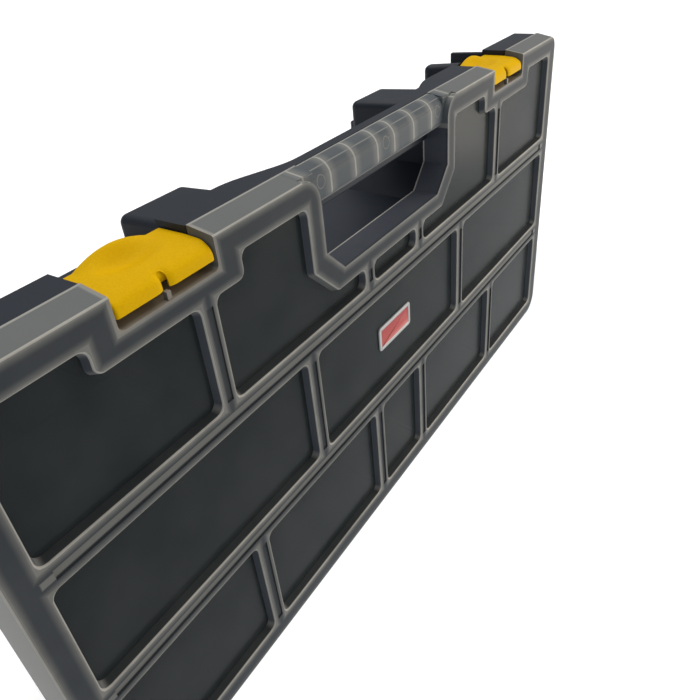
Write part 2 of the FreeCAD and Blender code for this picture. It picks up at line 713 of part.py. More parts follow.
for side, sign in SIDES:
    x = about(f"{sign} * latch_place", "notch_width / 2")
    bay_y = ("lid_back", "strip_back + overrun")
    latch_bays.append(box("LatchBay" + side.title(), x, bay_y, ("ledge_top", "crown + overrun")))
    ledge_y = ("rim_front", "rim_front + ledge_depth")
    ledges.append(box("Ledge" + side.title(), x, ledge_y, ("ledge_top - rim_wall", "ledge_top")))
finger_gap = tray_handle("FingerGap", "0", past_tray, "bar_low")
grip_wall = box("GripWall", both("opening_side - grip_gap"), ("rim_front", "rim_back"),
                ("bar_low - grip_drop", "bar_low + rim_wall"))
doc.recompute()
grip_low = grip_wall.Shape.BoundBox.ZMin
grip_wall = rounded("GripWallRound", grip_wall, size("grip_wall_round"),
                    lambda e: runs_along(e, "x") and same(e.BoundBox.ZMax, grip_low))
edging = cut("Edging", fuse("EdgingWhole", rim, channel), finger_gap, *latch_bays, *reliefs)


# The tray: lugs behind the strip

def lug(name, middle, width, reach, y, low):
    """A block at the strip's level whose top falls, and whose sides lean in, to its back."""
    half = f"{width} / 2"
    piece = wedge(name, y, about(middle, half), (low[0], "lug_top"),
                  about(middle, f"{half} - lug_lean * {half} / lug_width"), (low[1], "lug_top - lug_fall"))
    doc.recompute()
    limits = piece.Shape.BoundBox

    def exposed(edge):
        reaches_back = edge.BoundBox.YMax > limits.Center.y
        return reaches_back and edge.BoundBox.ZMax > limits.Center.z

    return rounded(name + "Round", piece, size(reach), exposed)


on_wall = "tray_high - tray_wall"
wall_fall = "tray_draft * (lug_back - rim_back) / (rear - tray_front)"
on_step = "step_low + tray_margin - tray_wall / 2"
guard_middle = "latch_place + latch_side + guard_gap + guard_wall / 2"
from_rim = ("rim_back - rim_wall / 2", "lug_back")
lugs = []
lug_hollows = []
for name, middle, width in (("LugLeft", "lug_left", "lug_left_width"),
                            ("LugMiddle", "lug_middle", "lug_width")):
    low = (on_wall, f"{on_wall} - {wall_fall}")
    lugs.append(lug(name, middle, width, "lug_round", from_rim, low))
    inner = about(middle, f"{width} / 2 - tray_wall")
    lug_hollows.append(wedge(name + "Hollow", ("rim_back + tray_wall", "lug_back - tray_wall"), inner,
                             (f"{low[0]} - 2 * tray_wall", "lug_top - tray_wall"), inner,
                             (f"{low[1]} - 2 * tray_wall", "lug_top - lug_fall - tray_wall")))
from_strip = ("strip_back", "lug_back")
lugs.append(lug("LugRight", "lug_right", "lug_narrow", "lug_round", from_strip, (on_step, on_step)))
lugs.append(lug("Guard", guard_middle, "guard_wall", "guard_round", from_rim, (on_step, on_step)))

# The tray: hinge knuckles, and feet at the back to stand on

knuckles = []
for side, sign in HINGES:
    near = "lid_knuckle_length / 2 + knuckle_gap"
    far = near + " + knuckle_length"
    flanks = {"A": hinge_span(sign, f"(-({far}))", f"(-({near}))"), "B": hinge_span(sign, near, far)}
    for flank, x in flanks.items():
        name = side.title() + flank
        knuckles.append(rod("Knuckle" + name, x, "hinge_y", "hinge_rise", "knuckle_radius"))
        knuckles.append(box("KnuckleWeb" + name, x, about("hinge_y", "knuckle_radius"),
                            ("hinge_rise", "tray_low + tray_wall + knuckle_radius")))

feet = []
for side, sign in SIDES:
    y = ("rear - foot_inset - foot_depth", "rear - foot_inset")
    foot = box("Foot" + side.title(), about(f"{sign} * foot_place", "foot_width / 2"), y,
               ("0", "tray_low + tray_draft + tray_wall"))
    feet.append(rounded("FootRound" + side.title(), foot, size("foot_round"),
                        lambda e: same(e.BoundBox.ZMax, 0)))

body = fuse("TrayJoined", tray, edging, grip_wall, *ledges, *lugs, *knuckles, *feet)
hinge_holes = pin_holes[len(SIDES):]
finish("base_tray", cut("TrayBody", body, space, *lug_hollows, *hinge_holes))

# The dividers

for name, rib, sign, row, high in DIVIDERS:
    low = [f"{face} + divider_gap" for face in ROW_FLOORS[row]]
    y = ("tray_front", "space_back - divider_gap")
    x = about(f"{sign} * {rib}", "divider_wall / 2")
    finish(name, upright("Plate_" + name, x, y, low, f"{high} - divider_gap"))


# The latches: a cap that hooks over the lid and the rim, with a thumb rest and a hollow in front of it

def latch(side, sign):
    name = "Latch" + side.title()
    middle = f"{sign} * latch_place"
    x = about(middle, "latch_side")
    wide = about(middle, "latch_side + overrun")
    cap = box(name + "Cap", x, ("latch_front", "latch_end"), ("lip_low", "latch_top"))
    doc.recompute()
    limits = cap.Shape.BoundBox
    cap = rounded(name + "Front", cap, size("latch_round"),
                  lambda e: same(e.BoundBox.YMax, limits.YMin) and same(e.BoundBox.ZMin, limits.ZMax))
    cap = rounded(name + "Edges", cap, size("latch_edge_round"),
                  lambda e: same(e.BoundBox.ZMin, limits.ZMax) and same(e.BoundBox.YMax, limits.YMax))
    thumb_y = ("latch_end - thumb_length", "latch_end")
    thumb_box = box(name + "ThumbBox", about(middle, "thumb_width / 2"), thumb_y,
                    ("latch_top - latch_wall / 2", "latch_top + thumb_rise + overrun"))
    thumb_radius = "(thumb_width * thumb_width / 4 + thumb_rise * thumb_rise) / (2 * thumb_rise)"
    roller = post(name + "ThumbRoller", middle, thumb_y, f"latch_top + thumb_rise - {thumb_radius}",
                  thumb_radius)
    scoop_ball = "(scoop_radius * scoop_radius + scoop_depth * scoop_depth) / (2 * scoop_depth)"
    scoop = doc.addObject("Part::Sphere", name + "Scoop")
    bind(scoop, "Radius", scoop_ball)
    scoop_y = "latch_end - thumb_length / 2 - scoop_radius"
    for axis, place in zip("xyz", (middle, scoop_y, f"latch_top - scoop_depth + {scoop_ball}")):
        bind(scoop, "Placement.Base." + axis, place)
    inside = box(name + "Inside", wide, ("latch_front + latch_wall", "latch_end - latch_wall"),
                 ("lip_low - overrun", "latch_top - latch_wall - scoop_depth"))
    under = box(name + "Under", wide, ("latch_front + latch_wall", "latch_end + overrun"),
                ("lip_low - overrun", "latch_top - tail_height"))
    shell = cut(name + "Shell", fuse(name + "Whole", cap, common(name + "Thumb", thumb_box, roller)),
                scoop, inside, under)
    barrel = rod(name + "Barrel", x, "latch_axis_y", "latch_axis_z", "latch_barrel_radius")
    neck = box(name + "Neck", x, ("latch_front + latch_wall / 2", "latch_axis_y"),
               ("latch_axis_z - latch_barrel_radius / 2", "latch_top - latch_wall"))
    slit = box(name + "Slit", about(f"{middle} - latch_side + 2 * latch_side * slit_share", "slit_width / 2"),
               ("latch_front - overrun", "latch_axis_y"), ("lip_low - overrun", "latch_top + overrun"))
    hole = rod(name + "Hole", wide, "latch_axis_y", "latch_axis_z", "latch_pin_radius + pin_clearance")
    return cut(name, fuse(name + "Joined", shell, barrel, neck), slit, hole)


for side, sign in SIDES:
    finish("latch_" + side, latch(side, sign))
    x = about(f"{sign} * latch_place", "notch_width / 2 + pin_seat - pin_clearance")
    pin = rod("LatchPin" + side.title(), x, "latch_axis_y", "latch_axis_z", "latch_pin_radius")
    finish("latch_pin_" + side, pin)

for side, sign in HINGES:
    reach = "lid_knuckle_length / 2 + knuckle_gap + knuckle_length - hinge_pin_inset"
    x = hinge_span(sign, f"(-({reach}))", reach)
    pin = rod("HingePin" + side.title(), x, "hinge_y", "hinge_rise", "hinge_pin_radius")
    finish("hinge_pin_" + side, pin)

# The blank badge plate in the middle panel

badge = box("Badge", both("badge_width / 2"), ("front + panel_depth - badge_wall", "front + panel_depth"),
            about("(middle_z0 + middle_z1) / 2", "badge_height / 2"))
finish("badge_plate", rounded("BadgeRound", badge, size("badge_round"), along_y))

# Check every object, then write each piece

doc.recompute()
for item in doc.Objects:
    if "Invalid" in item.State or "Error" in item.State:
        raise RuntimeError(item.Label + " failed: " + ", ".join(item.State))
os.makedirs("parts", exist_ok=True)
for node in nodes:
    if node.Shape.isNull() or not node.Shape.isValid():
        raise RuntimeError(node.Label + " has no valid shape")
for node in nodes:
    node.Shape.exportStep(f"parts/{node.Label}.step")
    print(node.Label, len(node.Shape.Solids), round(node.Shape.Volume))
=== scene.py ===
import json
import math

import bmesh
import bpy
from bpy.props import FloatProperty, FloatVectorProperty, PointerProperty
from mathutils import Matrix, Vector


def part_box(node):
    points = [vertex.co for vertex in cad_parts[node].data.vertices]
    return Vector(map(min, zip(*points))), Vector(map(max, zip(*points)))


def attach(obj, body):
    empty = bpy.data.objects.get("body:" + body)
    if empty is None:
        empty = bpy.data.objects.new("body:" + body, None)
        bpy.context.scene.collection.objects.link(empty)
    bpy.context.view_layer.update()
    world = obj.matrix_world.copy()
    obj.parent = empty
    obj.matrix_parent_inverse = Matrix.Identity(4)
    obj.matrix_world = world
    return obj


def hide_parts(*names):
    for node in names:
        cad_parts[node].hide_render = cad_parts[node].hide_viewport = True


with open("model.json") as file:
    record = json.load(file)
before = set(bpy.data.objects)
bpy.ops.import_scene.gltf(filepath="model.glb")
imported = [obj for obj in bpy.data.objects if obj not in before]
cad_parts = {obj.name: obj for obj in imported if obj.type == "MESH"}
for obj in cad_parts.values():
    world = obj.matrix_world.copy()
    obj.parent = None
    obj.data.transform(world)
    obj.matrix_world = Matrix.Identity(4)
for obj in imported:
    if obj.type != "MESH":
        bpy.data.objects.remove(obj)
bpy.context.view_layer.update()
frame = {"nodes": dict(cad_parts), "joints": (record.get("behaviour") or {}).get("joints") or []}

bl_info = {
    "name": "Organizer Case",
    "version": (1, 0, 0),
    "blender": (4, 5, 0),
    "location": "3D View > Sidebar > Case",
    "description": "Dresses a standing organizer case: frosted lid, dark tray, yellow latches",
    "category": "Object",
}

NODES = frame["nodes"]
LATCHES = ("latch_left", "latch_right")
DIVIDERS = sorted(name for name in NODES if name.startswith("divider_"))
PINS = sorted(name for name in NODES if "_pin_" in name)
LID_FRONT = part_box("lid_shell")[0].y
BADGE_LOW, BADGE_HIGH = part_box("badge_plate")
MM = 0.001
FAR = 1.0  # past the case on any side

# Places on the lid, the same as the CAD's
FACE_HALF = 190.25 * MM
FACE_Z = (1.75 * MM, 182.05 * MM)
PANEL_HALF = 180.95 * MM
RIB_HALF = 3.25 * MM
RIBS_OUTER = (21.3 * MM, 108.0 * MM)
RIBS_MIDDLE = (64.3 * MM,)
ROWS = (
    ((10.35 * MM, 59.95 * MM), RIBS_OUTER),
    ((69.25 * MM, 116.55 * MM), RIBS_MIDDLE),
    ((125.85 * MM, 173.05 * MM), RIBS_OUTER),
)
HANDLE_FRAME = (57.0 * MM, 135.0 * MM, 13.0 * MM)  # half width, lower edge, slant of the lower corners
HANDLE_MOUTH = (49.0 * MM, 142.5 * MM, 10.5 * MM)
HANDLE_FLARE = 9.0 * MM
LATCH_PLACE = 119.8 * MM
STEP = (28.6 * MM, 164.25 * MM)  # half width, lower edge
NOTCH = (18.7 * MM, 171.65 * MM)
BAR_LOW = 169.35 * MM
SLEEVE_END = -16.5 * MM
LID_BACK = -19.0 * MM
RIM_LOW = 160.0 * MM
WEB_FIRST = 6.5 * MM
WEB_PITCH = 16.0 * MM
WEB_LOW = 171.7 * MM
FOLD_HIGH = 182.0 * MM
RIB_MIDDLES = (64.6 * MM, 121.2 * MM)
MARK_PITCH = 44.5 * MM
MARK_HIGH = 177.5 * MM
MARK_RADIUS = 2.3 * MM

# How far a face has to look one way before it counts as looking that way
FLAT = (0.8, 0.97)
TURNED = (0.4, 0.8)
STEEP = (0.5, 0.7)
ROUND_START = (0.3, 0.5)
ROUND_END = (0.9, 0.99)
NOTCH_END = (-0.8, -0.4)

# How the lid's finishes and their painted light and shade meet
SOFT = 0.2 * MM
NOTCH_SOFT = 0.4 * MM
CREEP = 0.15 * MM
FILM_FADE = (0.7 * MM, 0.1 * MM)
FACE_FADE = (0.9 * MM, 1.2 * MM)
WALL_REACH = 3.0 * MM
END_FADE = (3.0 * MM, 1.0 * MM)
SLEEVE_BAND = (-1.0 * MM, 2.3 * MM)
SLEEVE_FRONT = 1.5 * MM
SLEEVE_FADE = (0.8 * MM, 0.5 * MM)
BACK_FADE = (0.9 * MM, 0.6 * MM)
WEB_FADE = 0.6 * MM
# Share of the painted latch bounce light in the notches
GLOW_SHARE = 0.3
CLOUD_SHARE = 0.1
# How the painted edge highlights vary with the haze, and how much they hide
EDGE_HAZE = (0.3, 0.7, 0.7, 0.95)
EDGE_ALPHA = 0.85
CLOUD = (0.3, 0.3, 0.29)

# Painted highlight lines and halos: full up to one distance, gone at another, of a strength
WEB_LINE = (0.35 * MM, 0.7 * MM, 0.7)
WEB_HALO = (0.5 * MM, 5.0 * MM, 0.22)
WEB_FOOT = (WEB_LOW - 0.9 * MM, WEB_LOW, 0.3)
FOLD_LINE = (0.0, 0.25 * MM, 0.4)
MARK_LINE = (0.0, 0.3 * MM, 0.3)
RIB_LINE = (0.9 * MM, 1.5 * MM, 0.3)
BACK_STRENGTH = 0.6
RIM_STRENGTH = 0.62

# Painted highlight lines whose distances are counted in edge widths
RIM_LINE = (0.5, 1.0, 0.7)
RIM_HALO = (0.0, 2.2, 0.6)
NOTCH_LINE = (0.6, 1.2, 0.8)

# The latch's skin
FRONT_STEPS = 14
BACK_STEPS = 4
CUTS_BACK = 30
CUTS_ACROSS = 71
SKIN_TOP = (3.0 * MM, 0.5 * MM)
CREST_HALF = 13.0 * MM
CREST_START = 15.5 * MM
CREST_RUN = 6.5 * MM
CREST_BEND = 1.8
SCOOP_PLACE = 14.4 * MM
SCOOP_HALF = (12.5 * MM, 6.8 * MM)
SLOPE_RUN = (3.0 * MM, 12.0 * MM)
CORNER_TURN = 1.2 * MM
CORNER_RUN = 8.0 * MM
SLIT_FADE = 5.0 * MM
SLIT_TURN_REACH = 2.4 * MM
NEAR = 1e-5
SKIN_BEVEL = 0.7 * MM
BARREL_RADIUS = 2.5 * MM
BARREL_ROUND = 0.4 * MM
BARREL_INSET = 1.0 * MM

# The badge plate
BADGE_CORNER = 1.5 * MM
BADGE_EDGE = 0.25 * MM
BADGE_RIM = 1.4 * MM
BADGE_STEP = 0.2 * MM
BADGE_FIELD = (1.9 * MM, 1.6 * MM)

# The stage
FLOOR_REACH = 30.0
SUN_PLACE, SUN_TARGET = Vector((0.25, 0.12, 1.2)), Vector((0.0, 0.0, 0.1))
KEY_PLACE, KEY_TARGET = Vector((0.48, -0.42, 0.18)), Vector((0.12, 0.0, 0.1))
CAMERA_PLACE = Vector((-0.2213, -0.159, 0.2578))
CAMERA_RIGHT = Vector((0.53800332, -0.83926041, -0.07870445))
CAMERA_UP = Vector((0.51157879, 0.25087821, 0.82179515))


def length(name, description, default):
    """A size in metres that a user may change."""
    return FloatProperty(name=name, description=description, default=default, unit="LENGTH", precision=5)


def colour(name, description, default):
    """A colour that a user may change."""
    return FloatVectorProperty(name=name, description=description, default=default, subtype="COLOR", size=3,
                               min=0, max=1)


def share(name, description, default):
    """A share from none to all."""
    return FloatProperty(name=name, description=description, default=default, min=0, max=1, subtype="FACTOR")


def strength(name, description, default, **more):
    """A strength that is never below none."""
    return FloatProperty(name=name, description=description, default=default, min=0, **more)


class CaseLid(bpy.types.PropertyGroup):
    """The frosted lid's finish and its painted light and shade."""

    frost: colour("Frosted plastic", "Colour of the frame and the ribs", (0.029, 0.034, 0.04))
    # Painted top light: faces that look up on the lid's top get this lighter tone
    rim: colour("Top rim", "Colour of the faces that look up", (0.118, 0.124, 0.123))
    film: colour("Panel film", "Colour of the thin sunk panels", (0.0085, 0.0128, 0.0146))
    # Painted shade on the level walls round the sunk panels, and a lighter painted tone on their upright walls
    wall: colour("Panel walls", "Colour of the level walls round the sunk panels", (0.014, 0.016, 0.018))
    side: colour("Panel sides", "Colour of the upright walls round the sunk panels", (0.06, 0.067, 0.08))
    # Painted highlight colour along edges and lines
    edge: colour("Bright edge", "Colour where an edge gathers light", (0.4, 0.385, 0.345))
    grip: colour("Grip bar", "Colour of the hollow grip bar", (0.071, 0.081, 0.09))
    # Painted light: the lid's outer ends are lightened as if the pale floor shone through them
    skirt_painted_light: colour("Skirt", "Colour of the lid's outer ends", (0.26, 0.26, 0.248))
    sleeve: colour("Sleeve", "Colour of the sleeve behind the handle's opening", (0.04, 0.046, 0.062))
    # Painted bounce light: the yellow that a latch throws on its notch
    glow: colour("Latch glow", "Colour that a latch throws on its notch", (0.24, 0.12, 0.03))
    frost_alpha: share("Frost", "How much of what is behind the frame is hidden", 0.94)
    film_alpha: share("Film", "How much of what is behind a panel is hidden", 0.84)
    edge_width: length("Edge width", "Width of the brightening along edges", 0.0014)
    panel_depth: length("Panel depth", "How far the panels are sunk under the lid's face", 0.0032)


class CaseTray(bpy.types.PropertyGroup):
    """The dark tray's finish."""

    body: colour("Tray plastic", "Colour of the tray and the dividers", (0.0145, 0.0185, 0.027))
    bloom: colour("Tray bloom", "Colour of the paler clouds in the plastic", (0.02, 0.024, 0.032))
    grain: length("Grain", "Size of the moulded grain", 0.0007)


class CaseLatch(bpy.types.PropertyGroup):
    """The latches' shape and finish, with painted shade in the grain's hollows."""

    plastic: colour("Latch plastic", "Colour of the latches", (0.635, 0.372, 0.0012))
    # Painted shade in the grain's hollows
    shade: colour("Latch shade", "Colour in the grain's hollows", (0.56, 0.31, 0.001))
    wall: length("Wall", "Thickness of the latch's skin", 0.0018)
    front_round: length("Front round", "Round where the lip turns into the top", 0.005)
    back_round: length("Back round", "Round along the back edge", 0.0012)
    lip_drop: length("Lip", "Latch top to the lip's lower edge", 0.006)
    tail_drop: length("Tail", "Latch top to the tail's lower edge", 0.0052)
    crown: length("Thumb rest", "Height of the thumb rest over the back edge", 0.0032)
    scoop: length("Scoop", "Depth of the hollow in front of the thumb rest", 0.0021)
    front_drop: length("Front slope", "How far the top slopes down to the front", 0.0005)
    slit: length("Slit", "Width of the slit in the lip", 0.0024)
    slit_reach: length("Slit reach", "How far the slit runs back before its round end", 0.0008)
    slit_turn: length("Slit turn", "How far the skin turns in round the slit", 0.0007)
    slit_place: share("Slit place", "Where the slit lies along the latch", 0.485)


class CaseStage(bpy.types.PropertyGroup):
    """The floor, the light and the camera."""

    floor: colour("Floor", "Colour of the floor", (0.95, 0.95, 0.95))
    sky: strength("Room light", "Strength of the light from all round", 0.32)
    below: strength("Light from below", "Strength of the light that comes up", 1.0)
    ground: strength("White ground", "Strength of the plain ground that is seen behind the case", 1.1)
    top: strength("Top light", "Strength of the broad soft light above", 2.5)
    key: strength("Key light", "Power of the warm light at the right", 2.7, subtype="POWER")
    lens: FloatProperty(name="Lens", description="Focal length in millimetres", default=34.148, min=1)


# Small helpers for node trees

def blank_material(name):
    """A new material with its shader, ready for nodes."""
    material = bpy.data.materials.new(name)
    material.use_nodes = True
    tree = material.node_tree
    return material, tree, tree.nodes["Principled BSDF"]


def add_node(tree, kind, settings=None, **inputs):
    """A node with its settings made and its inputs set to a value or linked to a socket."""
    node = tree.nodes.new(kind)
    for name, value in (settings or {}).items():
        setattr(node, name, value)
    for name, value in inputs.items():
        plug(tree, node, name, value)
    return node


def plug(tree, node, name, value):
    """Sets an input, by name or by number, or links a socket to it."""
    socket = node.inputs[name]
    if isinstance(value, bpy.types.NodeSocket):
        tree.links.new(value, socket)
    else:
        socket.default_value = value


def maths(tree, operation, *values):
    node = add_node(tree, "ShaderNodeMath", {"operation": operation})
    for index, value in enumerate(values):
        plug(tree, node, index, value)
    return node.outputs[0]


def all_of(tree, first, *others):
    """The product of some masks."""
    for other in others:
        first = maths(tree, "MULTIPLY", first, other)
    return first


def highest(tree, first, *others):
    for other in others:
        first = maths(tree, "MAXIMUM", first, other)
    return first


def lowest(tree, first, *others):
    for other in others:
        first = maths(tree, "MINIMUM", first, other)
    return first


def all_but(tree, mask):
    """What a mask leaves over."""
    return maths(tree, "SUBTRACT", 1.0, mask)


def distance(tree, value, place):
    return maths(tree, "ABSOLUTE", maths(tree, "SUBTRACT", value, place))


def square_sum(tree, first, second):
    return maths(tree, "ADD", maths(tree, "POWER", first, 2.0), maths(tree, "POWER", second, 2.0))


def ramp_between(tree, value, low, high, start=0.0, end=1.0):
    """Smoothly runs from start to end while value runs from low to high."""
    node = add_node(tree, "ShaderNodeMapRange", {"interpolation_type": "SMOOTHSTEP"})
    names = ("Value", "From Min", "From Max", "To Min", "To Max")
    for name, setting in zip(names, (value, low, high, start, end)):
        plug(tree, node, name, setting)
    return node.outputs["Result"]


def within(tree, value, low, high, soft):
    """One while value lies between low and high, with soft ends."""
    start = ramp_between(tree, value, low - soft, low)
    return all_of(tree, start, ramp_between(tree, value, high, high + soft, 1.0, 0.0))


def line(tree, value, shape, unit=1.0):
    """A bright line, full up to one distance and gone at another."""
    full, gone, most = shape
    return ramp_between(tree, value, full * unit, gone * unit, most, 0.0)


def blend_colours(tree, factor, first, second):
    node = add_node(tree, "ShaderNodeMix", {"data_type": "RGBA"})
    plug(tree, node, 0, factor)
    for index, value in ((6, first), (7, second)):
        plug(tree, node, index, value if isinstance(value, bpy.types.NodeSocket) else (*value, 1.0))
    return node.outputs[2]


def object_place(tree):
    """The point's place on its piece, and the three numbers of it."""
    coords = add_node(tree, "ShaderNodeTexCoord")
    split = add_node(tree, "ShaderNodeSeparateXYZ", Vector=coords.outputs["Object"])
    return coords, split.outputs


def noise(tree, coords, size, detail=2.0, roughness=0.5):
    """Noise whose lumps are about size across."""
    node = add_node(tree, "ShaderNodeTexNoise", Vector=coords.outputs["Object"], Scale=1.0 / size,
                    Detail=detail, Roughness=roughness)
    return node.outputs["Fac"]


def bump(tree, height, amount, depth):
    node = add_node(tree, "ShaderNodeBump", Strength=amount, Distance=depth, Height=height)
    return node.outputs["Normal"]


# Distances on the lid's face

def nearest(tree, value, first, pitch):
    """How far value lies from the nearest of a row of places."""
    return maths(tree, "WRAP", maths(tree, "SUBTRACT", value, first), pitch / 2, -pitch / 2)


def below_slants(tree, across, z, shape):
    """How far a point lies outside a shape that is open at its top and has slanted lower corners."""
    half, low, slant = shape
    aside = maths(tree, "SUBTRACT", across, half)
    under = maths(tree, "SUBTRACT", low, z)
    corner = maths(tree, "ADD", maths(tree, "ADD", aside, under), slant)
    return highest(tree, aside, under, all_of(tree, corner, math.sqrt(0.5)))


def outside_mouth(tree, across, z):
    """How far a point lies outside the handle's mouth, whose upper corners run out in a round."""
    straight = below_slants(tree, across, z, HANDLE_MOUTH)
    middle_x, middle_z = HANDLE_MOUTH[0] + HANDLE_FLARE, FACE_Z[1] - HANDLE_FLARE
    aside = maths(tree, "SUBTRACT", across, middle_x)
    above = maths(tree, "SUBTRACT", z, middle_z)
    bent = maths(tree, "SUBTRACT", HANDLE_FLARE, maths(tree, "SQRT", square_sum(tree, aside, above)))
    corner = all_of(tree, maths(tree, "GREATER_THAN", z, middle_z), maths(tree, "LESS_THAN", across, middle_x))
    both = add_node(tree, "ShaderNodeMix", Factor=corner)
    plug(tree, both, 2, straight)
    plug(tree, both, 3, bent)
    return both.outputs[0]


def below_latch(tree, across, z, shape):
    """How far a point lies outside a square shape under a latch that is open at its top."""
    half, low = shape
    aside = distance(tree, across, LATCH_PLACE)
    return highest(tree, maths(tree, "SUBTRACT", aside, half), maths(tree, "SUBTRACT", low, z))


def outside_box(tree, across, z, half, span):
    """How far a point lies outside a box about the middle."""
    over = maths(tree, "SUBTRACT", distance(tree, z, sum(span) / 2), (span[1] - span[0]) / 2)
    return highest(tree, maths(tree, "SUBTRACT", across, half), over)


def outside_panels(tree, across, z):
    """How far a point on the lid's face lies outside the nearest sunk panel."""
    rows = []
    for span, ribs in ROWS:
        row = outside_box(tree, across, z, PANEL_HALF, span)
        for rib in ribs:
            row = highest(tree, row, maths(tree, "SUBTRACT", RIB_HALF, distance(tree, across, rib)))
        rows.append(row)
    for hole in (below_slants(tree, across, z, HANDLE_FRAME), below_latch(tree, across, z, STEP)):
        rows[-1] = highest(tree, rows[-1], all_of(tree, hole, -1.0))
    return lowest(tree, *rows)


# The lid's finish and its painted light and shade

class LidPlace:
    """Where a point lies on the lid, and which part of the lid it is on, as sockets of the finish."""

    def __init__(self, tree, panel_depth):
        self.coords, (self.x, self.y, self.z) = object_place(tree)
        normal = add_node(tree, "ShaderNodeSeparateXYZ", Vector=self.coords.outputs["Normal"]).outputs
        self.across = maths(tree, "ABSOLUTE", self.x)
        self.level = maths(tree, "ABSOLUTE", normal[1])
        self.panels = outside_panels(tree, self.across, self.z)
        self.mouth = outside_mouth(tree, self.across, self.z)
        self.notch = below_latch(tree, self.across, self.z, NOTCH)
        self.turn_to(tree, normal)
        self.part(tree, LID_FRONT + panel_depth, normal)

    def turn_to(self, tree, normal):
        """Masks of the ways that a face can look."""
        self.flat = ramp_between(tree, self.level, *FLAT)
        self.steep = ramp_between(tree, self.level, *STEEP, 1.0, 0.0)
        self.upright = ramp_between(tree, maths(tree, "ABSOLUTE", normal[0]), *TURNED)
        # Faces that look up on the lid's top, which get the painted top light
        self.upward = all_of(tree, ramp_between(tree, normal[2], *TURNED),
                             ramp_between(tree, self.z, RIM_LOW, RIM_LOW + MM))

    def part(self, tree, panel_y, normal):
        """Masks of the lid's parts."""
        self.film = all_of(tree, self.flat,
                           ramp_between(tree, self.y, *(panel_y - fade for fade in FILM_FADE)))
        self.face = all_of(tree, self.flat,
                           ramp_between(tree, self.y, *(LID_FRONT + fade for fade in FACE_FADE), 1.0, 0.0))
        # Walls round the sunk panels: the level ones get painted shade, the upright ones a lighter painted tone
        self.walls = all_of(tree, all_but(tree, self.flat), within(tree, self.panels, -WALL_REACH, CREEP, SOFT))
        # The lid's outer ends, which get the painted light
        self.ends = all_of(tree, self.upright,
                           ramp_between(tree, self.across, *(FACE_HALF - fade for fade in END_FADE)))
        self.bar = all_of(tree, within(tree, self.mouth, -FAR, CREEP, SOFT),
                          within(tree, self.z, BAR_LOW - SOFT / 2, FAR, SOFT))
        self.sleeve = all_of(tree, self.steep, within(tree, self.mouth, *SLEEVE_BAND, SOFT),
                             within(tree, self.z, -FAR, BAR_LOW, MM),
                             within(tree, self.y, LID_FRONT + SLEEVE_FRONT, FAR, MM))
        # In a latch's notch: a share of painted yellow bounce light, and painted top light on the walls that look
        # towards -x
        in_notch = within(tree, self.notch, -FAR, SOFT, NOTCH_SOFT)
        off_end = ramp_between(tree, normal[0], *NOTCH_END)
        self.glow = all_of(tree, in_notch, off_end, GLOW_SHARE)
        self.notch_end = all_of(tree, in_notch, all_but(tree, off_end))


def lid_colour_and_painted_light(tree, at, lid):
    """The plastic's colour on each of the lid's parts, with painted light and shade: a painted top light, painted
    shade on the panel walls, painted light on the outer ends and a painted latch bounce in the notches.
    """
    # Faces that look up get the painted top light
    body = blend_colours(tree, at.upward, lid.frost, lid.rim)
    # Painted shade on the level panel walls, a lighter painted tone on the upright ones
    walls = blend_colours(tree, at.upright, lid.wall, lid.side)
    # Painted shade on the panel walls, painted light on the outer ends, a painted latch bounce in the notches and
    # painted top light on the notches' end walls
    parts = ((at.walls, walls), (at.film, lid.film), (at.ends, lid.skirt_painted_light), (at.bar, lid.grip),
             (at.sleeve, lid.sleeve), (at.glow, lid.glow), (at.notch_end, lid.rim))
    for mask, tone in parts:
        body = blend_colours(tree, mask, body, tone)
    return body


def grip_marks_and_highlights(tree, at):
    """The hollow grip bar's webs, its fold and the round marks of its mould, drawn as painted highlight lines,
    with a lighter painted halo beside each web.
    """
    beside = maths(tree, "ABSOLUTE", nearest(tree, at.across, WEB_FIRST, WEB_PITCH))
    web = highest(tree, line(tree, beside, WEB_LINE), line(tree, beside, WEB_HALO))
    web = all_of(tree, web, ramp_between(tree, at.z, WEB_LOW - WEB_FADE, WEB_LOW))
    fold = line(tree, distance(tree, at.z, FOLD_HIGH), FOLD_LINE)
    aside = nearest(tree, at.x, 0.0, MARK_PITCH)
    from_mark = maths(tree, "SQRT", square_sum(tree, aside, maths(tree, "SUBTRACT", at.z, MARK_HIGH)))
    mark = line(tree, distance(tree, from_mark, MARK_RADIUS), MARK_LINE)
    return all_of(tree, at.bar, highest(tree, web, line(tree, at.z, WEB_FOOT), fold, mark))


def painted_highlight_lines(tree, at):
    """Painted highlight lines on the grip bar, along the long ribs and along the rim's back edge."""
    lines = grip_marks_and_highlights(tree, at)
    for middle in RIB_MIDDLES:
        aside = highest(tree, distance(tree, at.z, middle), maths(tree, "SUBTRACT", at.across, PANEL_HALF))
        lines = highest(tree, lines, all_of(tree, at.flat, line(tree, aside, RIB_LINE)))
    back = ramp_between(tree, at.y, *(LID_BACK - fade for fade in BACK_FADE), 0.0, BACK_STRENGTH)
    return highest(tree, lines, all_of(tree, at.upward, back))


